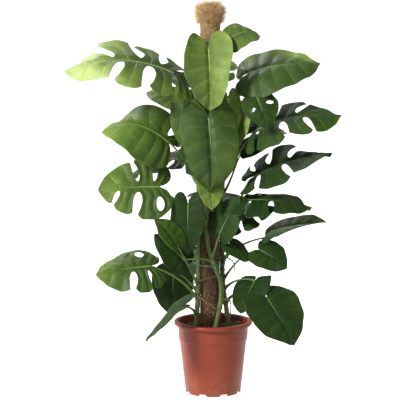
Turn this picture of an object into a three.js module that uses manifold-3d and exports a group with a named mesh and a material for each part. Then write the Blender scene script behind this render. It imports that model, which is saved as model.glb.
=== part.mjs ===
// A potted Swiss cheese plant: four climbing stems tied to a coir pole in a plastic nursery pot.
// Millimetres, +Z up. The origin is the middle of the pot's foot, on the ground; -Y is the plant's front.
import * as THREE from "three";
import { mergeVertices } from "three/addons/utils/BufferGeometryUtils.js";
import Module from "manifold-3d";

// ---------- driving dimensions ----------
const CLEARANCE = 0.4; // gap left between two pieces that touch
const MESH_TOLERANCE = 0.1; // edges shorter than this are closed up

const POT_HEIGHT = 220;
const POT_RIM_OVERHANG = 11.5; // how far the rolled rim stands out from the wall
const POT_RIM_DROP = 11; // height of the rolled rim
const POT_COLLAR_RADIUS = 107.5; // outside of the wall just under the rim
const POT_COLLAR_HEIGHT = 46; // from under the rim down to the step
const POT_STEP = 3; // how far the wall steps in under the collar
const POT_BASE_RADIUS = 84.5; // outside of the wall at the ground
const POT_WALL = 2.4;
const POT_FLOOR_HEIGHT = 10; // underside of the floor, which the feet hold off the ground
const POT_FLOOR = 3;
const FOOT_NOTCHES = 8; // drainage notches in the foot ring
const FOOT_NOTCH_WIDTH = 26;
const CENTRE_FOOT_RADIUS = 12;

const SOIL_BELOW_RIM = 12;
const SOIL_MOUND = 5; // how much higher the soil is round the pole

const POLE_X = -10;
const POLE_CORE_RADIUS = 14;
const POLE_CORE_SHORT = 33; // how far the timber stops below the pole's top
const COIR_RADIUS = 30;
const COIR_BURIED = 148; // how deep the coir starts in the soil
const POLE_ABOVE_SOIL = 975;
const COIR_HEAD_FLARE = 9; // how far the frayed head stands out from the sleeve
const COIR_HEAD_HEIGHT = 62;

const STEM_RADIUS = 8;
const STEM_GAP = 1.5; // between a stem and the coir that it climbs
const STALK_FOOT_RADIUS = 5.5; // a leaf stalk where it leaves its stem
const STALK_TIP_RADIUS = 2.9; // the same stalk at the blade
const BLADE_THICKNESS = 1.4;
const TIE_RADIUS = 1.2;
const TIE_SLACK = 2.3; // between a tie and the stems that it holds
const ROOT_RADIUS = 2.6;

const v3 = (p) => new THREE.Vector3(...p);
const radians = THREE.MathUtils.degToRad;
const curveThrough = (points) => new THREE.CatmullRomCurve3(points.map(v3), false, "centripetal");

// ---------- solids ----------
const wasm = await Module();
wasm.setup();

function solidOf(geometry) {
  const bare = geometry.index ? geometry.toNonIndexed() : geometry.clone();
  bare.deleteAttribute("normal");
  bare.deleteAttribute("uv");
  const merged = mergeVertices(bare, 1e-3);
  return new wasm.Manifold(
    new wasm.Mesh({
      numProp: 3,
      vertProperties: merged.attributes.position.array,
      triVerts: new Uint32Array(merged.index.array),
    }),
  );
}

function geometryOf(solid) {
  const mesh = solid.simplify(MESH_TOLERANCE).getMesh();
  const geometry = new THREE.BufferGeometry();
  geometry.setAttribute("position", new THREE.BufferAttribute(mesh.vertProperties, 3));
  geometry.setIndex(new THREE.BufferAttribute(mesh.triVerts, 1));
  geometry.computeVertexNormals();
  return geometry;
}

function latheOf(profile, segments) {
  const points = profile.map(([r, z]) => new THREE.Vector2(r, z));
  return new THREE.LatheGeometry(points, segments).rotateX(Math.PI / 2);
}

// A round bar along a curve, whose radius is a function of the share of its length. Both ends are closed.
function taperedBar(curve, radiusAt, sides, steps) {
  const frames = curve.computeFrenetFrames(steps, false);
  const places = [];
  for (let i = 0; i <= steps; i++) {
    const centre = curve.getPointAt(i / steps);
    for (let j = 0; j < sides; j++) {
      const turn = (2 * Math.PI * j) / sides;
      const out = frames.normals[i].clone().multiplyScalar(Math.cos(turn));
      out.addScaledVector(frames.binormals[i], Math.sin(turn));
      places.push(centre.clone().addScaledVector(out, radiusAt(i / steps)));
    }
  }
  const faces = [];
  for (let i = 0; i < steps; i++)
    for (let j = 0; j < sides; j++) {
      const [a, b] = [i * sides + j, i * sides + ((j + 1) % sides)];
      faces.push([a, b, b + sides], [a, b + sides, a + sides]);
    }
  const last = steps * sides;
  for (let j = 1; j < sides - 1; j++) faces.push([0, j + 1, j], [last, last + j, last + j + 1]);
  return geometryFrom(places, faces);
}

function geometryFrom(places, faces) {
  const geometry = new THREE.BufferGeometry();
  geometry.setAttribute("position", new THREE.Float32BufferAttribute(places.flatMap((p) => p.toArray()), 3));
  geometry.setIndex(faces.flat());
  return geometry;
}

// ---------- materials ----------
const finish = (color, roughness) => new THREE.MeshStandardMaterial({ color, roughness, metalness: 0 });
const materials = {
  terracotta: finish("#a5523f", 0.45),
  soil: finish("#2a201a", 0.95),
  timber: finish("#b08d5f", 0.8),
  coir: finish("#7a5230", 0.95),
  stem: finish("#4f6b35", 0.5),
  oldLeaf: finish("#2c4a22", 0.38),
  leaf: finish("#416c27", 0.38),
  youngLeaf: finish("#7fa040", 0.42),
  tie: finish("#3f7f6c", 0.4),
  root: finish("#6b4a30", 0.8),
};

const plant = new THREE.Group();
function add(name, geometry, material) {
  const mesh = new THREE.Mesh(geometry, material);
  mesh.name = name;
  plant.add(mesh);
  return mesh;
}

// ---------- pot ----------
const rimUnder = POT_HEIGHT - POT_RIM_DROP;
const rimRadius = POT_COLLAR_RADIUS + POT_RIM_OVERHANG;
const collarFoot = rimUnder - POT_COLLAR_HEIGHT;
const bodyTopRadius = POT_COLLAR_RADIUS - POT_STEP - 2;
// Outer radius of the wall below the collar at a height.
const wallRadius = (z) => THREE.MathUtils.lerp(POT_BASE_RADIUS, bodyTopRadius, z / collarFoot);
const floorTop = POT_FLOOR_HEIGHT + POT_FLOOR;
const rimInside = POT_COLLAR_RADIUS - POT_WALL;

function potSolid() {
  const profile = [
    [0, 0],
    [CENTRE_FOOT_RADIUS, 0],
    [CENTRE_FOOT_RADIUS, POT_FLOOR_HEIGHT],
    [wallRadius(POT_FLOOR_HEIGHT) - 5, POT_FLOOR_HEIGHT],
    [POT_BASE_RADIUS - 5, 0],
    [POT_BASE_RADIUS, 0],
    [wallRadius(POT_FLOOR_HEIGHT), POT_FLOOR_HEIGHT],
    [wallRadius(collarFoot), collarFoot],
    [POT_COLLAR_RADIUS - 2, collarFoot + 3],
    [POT_COLLAR_RADIUS, rimUnder],
    [rimRadius - 1.5, rimUnder],
    [rimRadius, rimUnder + 4],
    [rimRadius - 1, POT_HEIGHT - 2],
    [rimRadius - 3.5, POT_HEIGHT],
    [rimInside + 1, POT_HEIGHT],
    [rimInside, POT_HEIGHT - 2],
    [rimInside - 2, collarFoot + 3],
    [wallRadius(collarFoot) - POT_WALL, collarFoot],
    [wallRadius(floorTop) - POT_WALL, floorTop],
    [0, floorTop],
  ];
  let pot = solidOf(latheOf(profile, 32));
  for (let i = 0; i < FOOT_NOTCHES; i++) {
    const notch = new THREE.BoxGeometry(FOOT_NOTCH_WIDTH, 24, 2 * (POT_FLOOR_HEIGHT - 1.5));
    notch.translate(0, -POT_BASE_RADIUS, 0).rotateZ((2 * Math.PI * (i + 0.5)) / FOOT_NOTCHES);
    pot = pot.subtract(solidOf(notch));
  }
  return pot;
}
add("pot", geometryOf(potSolid()), materials.terracotta);

// ---------- coir pole ----------
const soilTop = POT_HEIGHT - SOIL_BELOW_RIM;
const poleTop = soilTop + POLE_ABOVE_SOIL;
const coreTop = poleTop - POLE_CORE_SHORT;
const coirFoot = soilTop - COIR_BURIED;
function poleCore(extra = 0) {
  const core = new THREE.CylinderGeometry(
    POLE_CORE_RADIUS + extra,
    POLE_CORE_RADIUS + extra,
    coreTop - floorTop - CLEARANCE + 2 * extra,
    16,
  );
  return core.rotateX(Math.PI / 2).translate(POLE_X, 0, (coreTop + floorTop + CLEARANCE) / 2);
}
add("pole_core", poleCore(), materials.timber);

// Outer radius of the coir at a height: a straight sleeve that flares into a frayed head.
function coirProfile(extra = 0) {
  const head = poleTop - COIR_HEAD_HEIGHT;
  const headRadius = COIR_RADIUS + COIR_HEAD_FLARE;
  return [
    [COIR_RADIUS + extra, coirFoot - extra],
    [COIR_RADIUS + extra, head],
    [COIR_RADIUS + 4 + extra, head + 18],
    [headRadius + extra, head + 36],
    [headRadius - 3 + extra, head + 50],
    [headRadius - 14, poleTop - 3],
    [0, poleTop],
  ];
}
const coirInside = POLE_CORE_RADIUS + CLEARANCE + 0.2;
add(
  "coir_sleeve",
  latheOf(
    [[0, coreTop + CLEARANCE], [coirInside, coreTop + CLEARANCE], [coirInside, coirFoot], ...coirProfile()],
    20,
  ).translate(POLE_X, 0, 0),
  materials.coir,
);

// ---------- stems and aerial roots ----------
// The stems' middle lines, from their buried foot to the growing tip: the turn round the pole from +X in degrees,
// how far the stem stands off its place on the coir, and the height above the soil.
const stems = {
  left: [[218, 16, -78], [215, 9, 32], [214, 4, 112], [208, 0, 192], [210, 0, 352], [203, 0, 532], [210, 0, 752]],
  front: [[275, 31, -78], [287, 23, 7], [307, 13, 72], [317, 6, 127], [292, 3, 182], [264, 1, 242], [256, 1, 352], [267, 1, 492], [261, 0, 792]],
  right: [[20, 20, -78], [13, 14, 32], [19, 3, 122], [18, 0, 232], [27, 0, 392], [19, 0, 592], [27, 0, 802]],
  back: [[100, 19, -78], [97, 9, 32], [93, 0, 212], [100, 0, 432], [90, 0, 732]],
};
// The height at which each root leaves its stem, then its course from there.
const aerialRoots = {
  left: [[92, [15, -38, -4], [47, -54, -24], [87, -62, -48]]],
  front: [
    [82, [26, -8, 2], [30, -12, -28], [25, -10, -68]],
    [154, [-28, -25, -1], [-60, -47, -6], [-92, -65, -13]],
  ],
  right: [[212, [32, -22, -18], [38, -28, -48]]],
};
const stemLine = COIR_RADIUS + STEM_GAP + STEM_RADIUS; // from the pole's middle to a snug stem's
const STEM_SIDES = 8;

const stemCurves = Object.fromEntries(
  Object.entries(stems).map(([name, route]) => [
    name,
    curveThrough(
      route.map(([turn, out, height]) => [
        POLE_X + (stemLine + out) * Math.cos(radians(turn)),
        (stemLine + out) * Math.sin(radians(turn)),
        soilTop + height,
      ]),
    ),
  ]),
);

// The point of a stem's middle line at a height above the soil.
function stemPoint(name, height) {
  let [low, high] = [0, 1];
  for (let i = 0; i < 20; i++) {
    const middle = (low + high) / 2;
    if (stemCurves[name].getPointAt(middle).z < soilTop + height) low = middle;
    else high = middle;
  }
  return stemCurves[name].getPointAt(low);
}

function stemSolid(name, extra) {
  let solid = solidOf(taperedBar(stemCurves[name], (t) => STEM_RADIUS * (1 - 0.35 * t) + extra, STEM_SIDES, 14));
  for (const [height, ...course] of aerialRoots[name] ?? []) {
    const foot = stemPoint(name, height);
    const curve = curveThrough([foot.toArray(), ...course.map((step) => foot.clone().add(v3(step)).toArray())]);
    solid = solid.add(solidOf(taperedBar(curve, (t) => ROOT_RADIUS * (1 - 0.5 * t) + extra, 5, 6)));
  }
  return solid;
}
const stemRooms = {};
for (const name of Object.keys(stems)) {
  add(name + "_stem", geometryOf(stemSolid(name, 0)), materials.stem);
  stemRooms[name] = stemSolid(name, CLEARANCE);
}

// ---------- ties ----------
// Each wire goes once round the pole and the stems, and sags towards the front.
const ties = { lower_tie: 194, middle_tie: 362, upper_tie: 702 };
const tieLoop = stemLine + STEM_RADIUS + TIE_SLACK + TIE_RADIUS;
for (const [name, height] of Object.entries(ties)) {
  const round = [];
  for (let i = 0; i < 12; i++) {
    const turn = (Math.PI * i) / 6;
    round.push(new THREE.Vector3(POLE_X + tieLoop * Math.cos(turn), tieLoop * Math.sin(turn), soilTop + height + 7 * Math.sin(turn)));
  }
  const ring = new THREE.TubeGeometry(new THREE.CatmullRomCurve3(round, true), 30, TIE_RADIUS, 5, true);
  add(name, geometryOf(solidOf(ring)), materials.tie);
}

// ---------- soil ----------
function soilSolid() {
  const inner = (z) => wallRadius(z) - POT_WALL - CLEARANCE;
  const profile = [
    [0, floorTop + CLEARANCE],
    [inner(floorTop), floorTop + CLEARANCE],
    [inner(collarFoot), collarFoot],
    [rimInside - 2.5 - CLEARANCE, collarFoot + 4],
    [rimInside - 1.5 - CLEARANCE, soilTop - 2],
    [60, soilTop],
    [0, soilTop + SOIL_MOUND],
  ];
  let soil = solidOf(latheOf(profile, 32));
  soil = soil.subtract(solidOf(poleCore(CLEARANCE)));
  const sleeveRoom = latheOf([[0, coirFoot - CLEARANCE], ...coirProfile(CLEARANCE)], 20).translate(POLE_X, 0, 0);
  soil = soil.subtract(solidOf(sleeveRoom));
  for (const room of Object.values(stemRooms)) soil = soil.subtract(room);
  return soil;
}
add("soil", geometryOf(soilSolid()), materials.soil);

// ---------- leaves ----------
// Half of a flat blade of length 1, from the notch beside the stalk round the lobe and on to the tip:
// how far along the midrib, then how far out from it.
const HALF_OUTLINE = [
  [-0.02, 0.015], [-0.13, 0.045], [-0.235, 0.14], [-0.245, 0.26], [-0.15, 0.39], [0.03, 0.475],
  [0.25, 0.495], [0.47, 0.45], [0.67, 0.35], [0.83, 0.22], [0.94, 0.09], [1, 0],
];
const outline = new THREE.CatmullRomCurve3(HALF_OUTLINE.map(([s, t]) => new THREE.Vector3(s, t, 0)), false, "catmullrom", 0.5);
const LOBE_SHARE = 0.36; // the veins of the lobe all start at the stalk
const veinFoot = (a) => Math.pow(Math.max(0, (a - LOBE_SHARE) / (1 - LOBE_SHARE)), 1.25);

// A point of the flat half blade. a tells the vein, from the notch (0) to the tip (1), and r how far out along it.
function flatPoint(a, r) {
  const foot = veinFoot(a);
  const end = outline.getPoint(THREE.MathUtils.clamp(a, 0, 1));
  const bow = 0.2 * r * (1 - r) * Math.hypot(end.x - foot, end.y);
  return [foot + (end.x - foot) * r - bow, end.y * r];
}

// Half the width of a split [vein, from, to, width] at r. One that ends before the margin is a hole.
function splitGap([, from, to, width], r) {
  const q = (r - from) / (to - from);
  if (q <= 0 || (to < 1 && q >= 1)) return 0;
  if (to < 1) return width * Math.sqrt(1 - (2 * q - 1) ** 2);
  return width * (q < 0.35 ? Math.sqrt(1 - (1 - q / 0.35) ** 2) : 1 - 0.6 * (q - 0.35));
}

// Places a flat point of a leaf's blade in space: side -1 is its left half and 1 its right half.
function bladePlacer(leaf) {
  const base = stemPoint(leaf.stalk[0], leaf.stalk[1]).add(v3(leaf.blade));
  const [heading, pitch, roll] = leaf.aim.map(radians);
  const [bend, hook, twist] = leaf.bend.map(radians);
  const along = new THREE.Vector3(Math.cos(pitch) * Math.cos(heading), Math.cos(pitch) * Math.sin(heading), Math.sin(pitch));
  const right = new THREE.Vector3(Math.sin(heading), -Math.cos(heading), 0).applyAxisAngle(along, -roll);
  const tangentAt = (s) => along.clone().applyAxisAngle(right, -bend * s - (s > 0 ? hook * s ** 3 : 0));
  const STEPS = 24;
  const spine = (s) => {
    const point = base.clone();
    for (let i = 0; i < STEPS; i++) point.addScaledVector(tangentAt((s * (i + 0.5)) / STEPS), (s / STEPS) * leaf.size[0]);
    return point;
  };
  return (s, t, side, lift) => {
    const tangent = tangentAt(s);
    const out = right.clone().multiplyScalar(side).applyAxisAngle(tangent, twist * s);
    const up = new THREE.Vector3().crossVectors(right, tangent).applyAxisAngle(tangent, twist * s);
    const cup = radians(leaf.cup[side < 0 ? 0 : 1]);
    const curl = radians(leaf.curl[side < 0 ? 0 : 1]) || 1e-3; // over half a blade's width
    const k = curl / (0.49 * leaf.size[1]);
    const reach = t * leaf.size[1];
    const tilt = t > 0 ? cup + k * reach : 0;
    const point = spine(s);
    point.addScaledVector(out, (Math.sin(cup + k * reach) - Math.sin(cup)) / k - Math.sin(tilt) * lift);
    return point.addScaledVector(up, (Math.cos(cup) - Math.cos(cup + k * reach)) / k + Math.cos(tilt) * lift);
  };
}

function bladeGeometry(leaf) {
  const place = bladePlacer(leaf);
  const small = leaf.size[0] < 170;
  const grid = small ? [0, 0.15, 0.3, 0.5, 0.75, 1] : [0, 0.14, 0.28, 0.42, 0.56, 0.7, 0.85, 1];
  const veins = leaf.splits.flat().map((split) => split[0]);
  const columns = grid.filter((a) => veins.every((vein) => Math.abs(a - vein) > 0.035)).concat(veins);
  const sorted = [...new Set(columns)].sort((p, q) => p - q);
  const [tops, under, faces, index] = [[], [], [], new Map()];
  // One pair of vertices, above and below, for every flat point; the two halves share the midrib's.
  const vertex = (a, r, side) => {
    const [s, t] = flatPoint(a, r);
    const key = [s, t * side].map((x) => (Math.round(x * 1e5) / 1e5 + 0).toFixed(5)).join();
    if (!index.has(key)) {
      index.set(key, tops.length);
      tops.push(place(s, t, side, BLADE_THICKNESS / 2));
      under.push(place(s, t, side, -BLADE_THICKNESS / 2));
    }
    return index.get(key);
  };
  for (const side of [-1, 1]) {
    const splits = [...leaf.splits[side < 0 ? 0 : 1]].sort((p, q) => p[0] - q[0]);
    const inner = splits.flatMap(([, from, to]) => (to < 1 ? [from, (from + to) / 2, to] : [from, from + 0.35 * (1 - from)]));
    const rows = [0, ...inner, 1, ...(splits.length ? [] : [0.5])]
      .sort((p, q) => p - q)
      .filter((r, i, all) => r === 0 || r === 1 || (r - all[i - 1] > 0.04 && r < 0.97));
    const cuts = [0, ...splits.map((split) => split[0]), 1];
    for (let f = 0; f + 1 < cuts.length; f++) {
      const mine = sorted.filter((a) => a >= cuts[f] && a <= cuts[f + 1]);
      const at = (a, r) => {
        const from = cuts[f] + (f > 0 ? splitGap(splits[f - 1], r) : 0);
        const to = cuts[f + 1] - (f + 2 < cuts.length ? splitGap(splits[f], r) : 0);
        return vertex(from + ((to - from) * (a - cuts[f])) / (cuts[f + 1] - cuts[f]), r, side);
      };
      for (let c = 0; c + 1 < mine.length; c++)
        for (let k = 0; k + 1 < rows.length; k++) {
          const quad = [at(mine[c], rows[k]), at(mine[c + 1], rows[k]), at(mine[c + 1], rows[k + 1]), at(mine[c], rows[k + 1])];
          if (side > 0) quad.reverse();
          faces.push([quad[0], quad[1], quad[2]], [quad[0], quad[2], quad[3]]);
        }
    }
  }
  const upper = faces.filter(([a, b, c]) => a !== b && b !== c && c !== a);
  const edges = new Set(upper.flatMap(([a, b, c]) => [a + "," + b, b + "," + c, c + "," + a]));
  const n = tops.length;
  const all = [...upper, ...upper.map(([a, b, c]) => [c + n, b + n, a + n])];
  for (const edge of edges) {
    const [a, b] = edge.split(",").map(Number);
    if (!edges.has(b + "," + a)) all.push([b, a, a + n], [b, a + n, b + n]);
  }
  return geometryFrom([...tops, ...under], all);
}

// A stalk leaves its stem at a height, arches, and ends in the blade, halfway between its own course and the midrib's.
function stalkGeometry(leaf) {
  const [stem, height, lift] = leaf.stalk;
  const foot = stemPoint(stem, height);
  const place = bladePlacer(leaf);
  const end = place(0, 0, 1, 0);
  const span = foot.distanceTo(end);
  const leave = new THREE.Vector3(end.x - foot.x, end.y - foot.y, 0).normalize().multiplyScalar(0.6);
  leave.z = 0.8;
  const arrive = end.clone().sub(foot).normalize().add(new THREE.Vector3(0, 0, -lift)).normalize();
  const arch = new THREE.CubicBezierCurve3(
    foot,
    foot.clone().addScaledVector(leave, 0.35 * span),
    end.clone().addScaledVector(arrive, -0.35 * span),
    end,
  );
  const blade = place(0.05, 0, 1, 0).sub(end).normalize();
  const into = end.clone().addScaledVector(blade.addScaledVector(arrive, 1.3).normalize(), 6);
  const thick = Math.min(1, 0.62 + leaf.size[0] / 600);
  const radiusAt = (t) => thick * THREE.MathUtils.lerp(STALK_FOOT_RADIUS, STALK_TIP_RADIUS, Math.min(1, t * 1.4));
  return taperedBar(curveThrough([...arch.getSpacedPoints(6), into].map((p) => p.toArray())), radiusAt, 6, 7);
}

// The leaves. stalk: its stem, its node's height above the soil, how much it arches. blade: how far the blade starts from there.
// aim: heading round the pole from +X, pitch above the level, roll that lifts the right half. size: the blade's length and width.
// bend: the droop of the midrib, more droop at its tip, and twist. cup and curl lift the left and right halves. Angles are in degrees.
// splits: for the left and right halves, [vein, from, to, half width], as shares of the outline and of the way out.
const leaves = {
  top_left: { age: "young", stalk: ["left", 592, 0.5], blade: [-78, -4, 176], aim: [188, 26, 0], size: [335, 300], bend: [50, 0, 0], cup: [-22, 20], curl: [0, 12],
    splits: [[[0.4, 0.38, 1, 0.035], [0.55, 0.34, 1, 0.045], [0.7, 0.34, 1, 0.035]], [[0.35, 0.34, 1, 0.03], [0.48, 0.3, 1, 0.035], [0.6, 0.3, 1, 0.035], [0.74, 0.3, 1, 0.03]]] },
  left_upper: { age: "full", stalk: ["left", 432, 0.4], blade: [-95, -32, 135], aim: [195, 42, 38], size: [225, 225], bend: [70, 30, 14], cup: [-18, 14], curl: [0, 10], splits: [[], [[0.42, 0.34, 1, 0.04]]] },
  left_behind: { age: "young", stalk: ["left", 505, 0.6], blade: [-59, 103, 165], aim: [166, 28, 28], size: [112, 104], bend: [30, 0, 0], cup: [8, 18], curl: [0, 0], splits: [[], []] },
  droop_mid: { age: "full", stalk: ["left", 642, 0.6], blade: [-30, -26, 57], aim: [240, -78, 0], size: [175, 115], bend: [20, 0, 0], cup: [-5, 10], curl: [0, 0], splits: [[], []] },
  top_young: { age: "young", stalk: ["front", 732, 0.2], blade: [0, -25, 110], aim: [280, -68, 0], size: [188, 160], bend: [25, 20, 12], cup: [46, 24], curl: [0, 0], splits: [[], []] },
  top_curl: { age: "full", stalk: ["right", 782, 0.2], blade: [22, -69, 88], aim: [350, 40, -45], size: [112, 115], bend: [95, 0, 0], cup: [0, 0], curl: [0, 0], splits: [[], []] },
  right_upper: { age: "full", stalk: ["right", 642, 0.4], blade: [82, -33, 125], aim: [348, 20, -15], size: [214, 216], bend: [25, 0, 0], cup: [10, -15], curl: [20, -24], splits: [[], []] },
  holed: { age: "old", stalk: ["right", 672, 0.3], blade: [103, -106, 23], aim: [290, -40, -20], size: [110, 105], bend: [25, 0, 0], cup: [5, 5], curl: [0, 0],
    splits: [[[0.55, 0.35, 0.75, 0.03]], [[0.6, 0.35, 0.75, 0.03]]] },
  band: { age: "young", stalk: ["front", 652, 0.4], blade: [57, -11, 40], aim: [277, -75, 0], size: [136, 84], bend: [25, 0, 0], cup: [-5, -5], curl: [0, 0], splits: [[], []] },
  right_big: { age: "old", stalk: ["right", 432, 0.4], blade: [113, -68, 172], aim: [345, 26, -20], size: [250, 250], bend: [35, 0, 0], cup: [10, -5], curl: [0, 0],
    splits: [[[0.4, 0.38, 1, 0.03], [0.55, 0.34, 1, 0.035], [0.7, 0.34, 1, 0.03]], [[0.4, 0.38, 1, 0.03], [0.6, 0.34, 1, 0.035], [0.75, 0.38, 1, 0.03]]] },
  centre: { age: "full", stalk: ["front", 572, 0.5], blade: [-3, -46, 67], aim: [286, -70, 0], size: [230, 180], bend: [12, 45, 6], cup: [24, 14], curl: [-20, -20], splits: [[], []] },
  round_dark: { age: "old", stalk: ["front", 382, 0.2], blade: [-61, -47, 125], aim: [341, 45, -70], size: [90, 105], bend: [10, 0, 0], cup: [0, 0], curl: [0, 0], splits: [[], []] },
  left_split: { age: "full", stalk: ["left", 292, 0.3], blade: [-120, -70, 142], aim: [193, 2, 62], size: [180, 200], bend: [20, 0, 0], cup: [0, 0], curl: [-10, 0],
    splits: [[[0.42, 0.35, 0.8, 0.04], [0.62, 0.38, 1, 0.05], [0.8, 0.38, 1, 0.03]], [[0.45, 0.34, 1, 0.035], [0.62, 0.38, 1, 0.035]]] },
  left_fold: { age: "old", stalk: ["left", 122, 0.1], blade: [-66, -112, 150], aim: [185, 55, 55], size: [96, 105], bend: [20, 0, 0], cup: [40, 0], curl: [0, 0], splits: [[], []] },
  dark_hang: { age: "old", stalk: ["front", 312, 0.6], blade: [-56, -49, 68], aim: [262, -82, 0], size: [150, 105], bend: [15, 0, 0], cup: [10, 10], curl: [0, 0], splits: [[], []] },
  dark_triangle: { age: "old", stalk: ["front", 192, 0.2], blade: [-91, -10, 15], aim: [195, 48, 55], size: [120, 120], bend: [20, 0, 0], cup: [0, 0], curl: [0, 0], splits: [[], []] },
  left_low: { age: "full", stalk: ["left", 82, 0.3], blade: [-141, -104, 120], aim: [200, 0, 45], size: [165, 180], bend: [20, 0, 0], cup: [0, 0], curl: [0, -30],
    splits: [[[0.45, 0.38, 1, 0.03], [0.62, 0.38, 1, 0.05]], [[0.5, 0.4, 0.75, 0.04]]] },
  dark_heart: { age: "old", stalk: ["left", 102, 0.6], blade: [-74, 9, 58], aim: [262, -75, 10], size: [130, 128], bend: [20, 0, 0], cup: [5, 5], curl: [0, 0], splits: [[], []] },
  slender: { age: "full", stalk: ["left", 32, 0.3], blade: [-42, -82, 43], aim: [222, -24, -50], size: [175, 95], bend: [10, 0, 0], cup: [15, 15], curl: [0, 0], splits: [[], []] },
  heart: { age: "old", stalk: ["right", 62, 0.5], blade: [122, -142, 42], aim: [312, -42, -12], size: [165, 190], bend: [15, 0, 0], cup: [8, 8], curl: [0, 0], splits: [[], []] },
  behind_heart: { age: "old", stalk: ["right", 102, 0.5], blade: [93, -64, 42], aim: [235, -40, -10], size: [120, 140], bend: [15, 0, 0], cup: [5, 5], curl: [0, 0], splits: [[], []] },
  right_droop: { age: "old", stalk: ["right", 132, 0.5], blade: [111, -99, 110], aim: [325, -18, -35], size: [100, 110], bend: [30, 0, 0], cup: [5, 5], curl: [0, 0], splits: [[], []] },
  far_right: { age: "full", stalk: ["right", 192, 0.3], blade: [162, -72, 90], aim: [345, 29, -10], size: [160, 120], bend: [25, 0, 0], cup: [35, 35], curl: [0, 0], splits: [[], []] },
  small_right: { age: "old", stalk: ["right", 166, 0.3], blade: [22, -85, 93], aim: [330, -29, -20], size: [78, 75], bend: [20, 0, 0], cup: [5, 5], curl: [0, 0], splits: [[], []] },
  under_high: { age: "old", stalk: ["right", 292, 0.2], blade: [102, -54, 170], aim: [347, 28, -30], size: [240, 240], bend: [25, 0, 0], cup: [0, 18], curl: [0, 0],
    splits: [[[0.4, 0.38, 1, 0.03], [0.54, 0.34, 1, 0.035], [0.7, 0.34, 1, 0.035]], [[0.45, 0.38, 1, 0.03], [0.65, 0.34, 1, 0.03]]] },
  under_low: { age: "old", stalk: ["right", 312, 0.2], blade: [80, -120, 85], aim: [338, 5, -18], size: [195, 190], bend: [20, 0, 0], cup: [0, 0], curl: [0, 0],
    splits: [[[0.5, 0.38, 1, 0.03]], [[0.45, 0.38, 1, 0.03], [0.65, 0.34, 1, 0.03]]] },
  fingers: { age: "old", stalk: ["right", 222, 0.2], blade: [38, -74, 102], aim: [350, 30, -25], size: [130, 130], bend: [20, 0, 0], cup: [0, 0], curl: [0, 0],
    splits: [[[0.6, 0.3, 1, 0.035]], [[0.5, 0.3, 1, 0.035], [0.7, 0.3, 1, 0.035]]] },
  diagonal: { age: "old", stalk: ["front", 212, 0.1], blade: [27, -40, 86], aim: [350, 66, -60], size: [120, 110], bend: [10, 0, 0], cup: [10, 10], curl: [0, 0], splits: [[], []] },
  behind_right: { age: "old", stalk: ["right", 392, 0.2], blade: [67, 2, 145], aim: [15, 30, -25], size: [100, 100], bend: [20, 0, 0], cup: [0, 0], curl: [0, 0], splits: [[], []] },
  young_mid: { age: "young", stalk: ["front", 402, 0.5], blade: [5, -40, 58], aim: [290, -70, 0], size: [98, 88], bend: [10, 0, 0], cup: [15, 15], curl: [0, 0], splits: [[], []] },
  narrow: { age: "young", stalk: ["right", 505, 0.8], blade: [65, -27, 148], aim: [228, -60, -5], size: [138, 92], bend: [15, 0, 0], cup: [14, 6], curl: [0, 0], splits: [[], []] },
  back_top: { age: "full", stalk: ["back", 652, 0.4], blade: [-8, 100, 100], aim: [108, 13, 12], size: [228, 222], bend: [50, 0, 0], cup: [8, 8], curl: [0, 0],
    splits: [[[0.45, 0.34, 1, 0.035], [0.65, 0.34, 1, 0.035]], [[0.4, 0.34, 1, 0.035], [0.6, 0.34, 1, 0.035]]] },
  back_right: { age: "old", stalk: ["back", 492, 0.4], blade: [96, 81, 120], aim: [50, 5, -15], size: [240, 230], bend: [45, 0, 0], cup: [5, 5], curl: [0, 0],
    splits: [[[0.4, 0.34, 1, 0.035], [0.6, 0.34, 1, 0.035]], [[0.45, 0.34, 1, 0.035], [0.65, 0.34, 1, 0.035]]] },
  back_left: { age: "old", stalk: ["back", 392, 0.4], blade: [-93, 86, 100], aim: [140, 0, 15], size: [230, 220], bend: [45, 0, 0], cup: [5, 5], curl: [0, 0],
    splits: [[[0.4, 0.34, 1, 0.035], [0.6, 0.34, 1, 0.035]], [[0.45, 0.34, 1, 0.035], [0.65, 0.34, 1, 0.035]]] },
  back_middle: { age: "old", stalk: ["back", 262, 0.4], blade: [23, 91, 120], aim: [75, -15, 0], size: [210, 210], bend: [35, 0, 0], cup: [5, 5], curl: [0, 0],
    splits: [[[0.5, 0.34, 1, 0.035]], [[0.5, 0.34, 1, 0.035]]] },
  back_low: { age: "old", stalk: ["back", 112, 0.4], blade: [-36, 86, 100], aim: [110, -30, 0], size: [170, 170], bend: [25, 0, 0], cup: [5, 5], curl: [0, 0], splits: [[], []] },
};

const leafFinish = { old: materials.oldLeaf, full: materials.leaf, young: materials.youngLeaf };
for (const [name, leaf] of Object.entries(leaves)) {
  const stalk = solidOf(stalkGeometry(leaf)).subtract(stemRooms[leaf.stalk[0]]);
  add("leaf_" + name, geometryOf(solidOf(bladeGeometry(leaf)).add(stalk)), leafFinish[leaf.age]);
}

export default plant;
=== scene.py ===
import itertools
import math

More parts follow.
